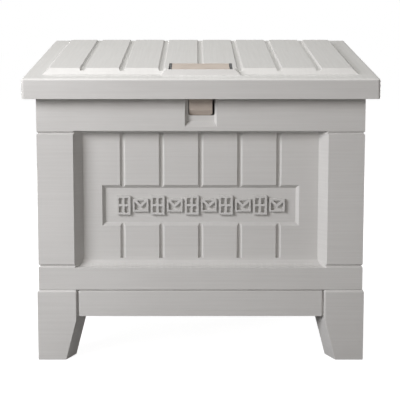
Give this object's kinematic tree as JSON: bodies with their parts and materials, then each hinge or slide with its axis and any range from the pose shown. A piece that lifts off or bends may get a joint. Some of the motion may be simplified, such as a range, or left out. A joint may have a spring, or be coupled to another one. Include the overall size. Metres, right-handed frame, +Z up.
{
  "type": "parcel drop box",
  "caption": "Moulded resin parcel drop box on four corner legs, with a sloping hinged lid, a coded lock under a flip cover, and a motor-driven latch bolt.",
  "frame": {"origin": "on the floor, under the middle of the box's bounding box", "axes": "+X to the right along the box's width, -Y out of the front where the lock is, +Z up"},
  "size_m": [0.64, 0.5, 0.5863],
  "materials": {
    "resin_shell": "moulded resin with a fine grain",
    "resin_lining": "plain moulded resin",
    "lock_trim": "satin moulded plastic",
    "black_plastic": "fine texture",
    "key_rubber": "soft matt",
    "seal_rubber": "matt extruded",
    "steel": "zinc plated",
    "circuit_board": "solder mask",
    "cell_jacket": "printed sleeve"
  },
  "bodies": {
    "box": {"front_panel": "resin_shell", "rear_panel": "resin_shell", "left_panel": "resin_shell", "right_panel": "resin_shell", "floor_panel": "resin_lining", "floor_beam_left": "steel", "floor_beam_right": "steel", "front_apron": "resin_shell", "rear_apron": "resin_shell", "left_apron": "resin_shell", "right_apron": "resin_shell", "front_left_leg": "resin_shell", "front_right_leg": "resin_shell", "rear_left_leg": "resin_shell", "rear_right_leg": "resin_shell", "rim_seal": "seal_rubber", "strike_plate": "steel", "strike_screw_left": "steel", "strike_screw_right": "steel", "hinge_box_leaf_left": "steel", "hinge_box_leaf_right": "steel", "hinge_pin_left": "steel", "hinge_pin_right": "steel"},
    "lid": {"lid_shell": "resin_shell", "lid_liner": "resin_lining", "hinge_lid_leaf_left": "steel", "hinge_lid_leaf_right": "steel", "keypad_bezel": "black_plastic", "keypad_board": "circuit_board", "cover_pin": "steel", "latch_housing": "lock_trim", "latch_motor": "steel", "battery_box": "black_plastic", "battery_door": "resin_lining", "battery_1": "cell_jacket", "battery_2": "cell_jacket", "battery_3": "cell_jacket", "battery_4": "cell_jacket"},
    "cover": {"keypad_cover": "lock_trim"},
    "bolt": {"latch_bolt": "steel"},
    "button_1": {"key_1": "key_rubber"},
    "button_2": {"key_2": "key_rubber"},
    "button_3": {"key_3": "key_rubber"},
    "button_4": {"key_4": "key_rubber"},
    "button_5": {"key_5": "key_rubber"},
    "button_6": {"key_6": "key_rubber"},
    "button_7": {"key_7": "key_rubber"},
    "button_8": {"key_8": "key_rubber"},
    "button_9": {"key_9": "key_rubber"},
    "button_10": {"key_10": "key_rubber"},
    "button_11": {"key_11": "key_rubber"},
    "button_12": {"key_12": "key_rubber"}
  },
  "joints": [
    {"name": "lid_hinge", "type": "hinge", "parent": "box", "child": "lid", "pos_m": [0, 0.2375, 0.5352], "axis": [-1, 0, 0], "range_deg": [0, 100]},
    {"name": "cover_flip", "type": "hinge", "parent": "lid", "child": "cover", "pos_m": [0, -0.1435, 0.54124], "axis": [-1, 0, 0], "range_deg": [0, 105]},
    {"name": "latch_throw", "type": "slide", "parent": "lid", "child": "bolt", "axis": [0, 1, 0], "range_m": [0, 0.008]},
    {"name": "press_key_01", "type": "slide", "parent": "lid", "child": "button_1", "axis": [0, 0, -1], "range_m": [0, 0.0015], "stiffness_N_per_m": 1000},
    {"name": "press_key_02", "type": "slide", "parent": "lid", "child": "button_2", "axis": [0, 0, -1], "range_m": [0, 0.0015], "stiffness_N_per_m": 1000},
    {"name": "press_key_03", "type": "slide", "parent": "lid", "child": "button_3", "axis": [0, 0, -1], "range_m": [0, 0.0015], "stiffness_N_per_m": 1000},
    {"name": "press_key_04", "type": "slide", "parent": "lid", "child": "button_4", "axis": [0, 0, -1], "range_m": [0, 0.0015], "stiffness_N_per_m": 1000},
    {"name": "press_key_05", "type": "slide", "parent": "lid", "child": "button_5", "axis": [0, 0, -1], "range_m": [0, 0.0015], "stiffness_N_per_m": 1000},
    {"name": "press_key_06", "type": "slide", "parent": "lid", "child": "button_6", "axis": [0, 0, -1], "range_m": [0, 0.0015], "stiffness_N_per_m": 1000},
    {"name": "press_key_07", "type": "slide", "parent": "lid", "child": "button_7", "axis": [0, 0, -1], "range_m": [0, 0.0015], "stiffness_N_per_m": 1000},
    {"name": "press_key_08", "type": "slide", "parent": "lid", "child": "button_8", "axis": [0, 0, -1], "range_m": [0, 0.0015], "stiffness_N_per_m": 1000},
    {"name": "press_key_09", "type": "slide", "parent": "lid", "child": "button_9", "axis": [0, 0, -1], "range_m": [0, 0.0015], "stiffness_N_per_m": 1000},
    {"name": "press_key_10", "type": "slide", "parent": "lid", "child": "button_10", "axis": [0, 0, -1], "range_m": [0, 0.0015], "stiffness_N_per_m": 1000},
    {"name": "press_key_11", "type": "slide", "parent": "lid", "child": "button_11", "axis": [0, 0, -1], "range_m": [0, 0.0015], "stiffness_N_per_m": 1000},
    {"name": "press_key_12", "type": "slide", "parent": "lid", "child": "button_12", "axis": [0, 0, -1], "range_m": [0, 0.0015], "stiffness_N_per_m": 1000}
  ]
}
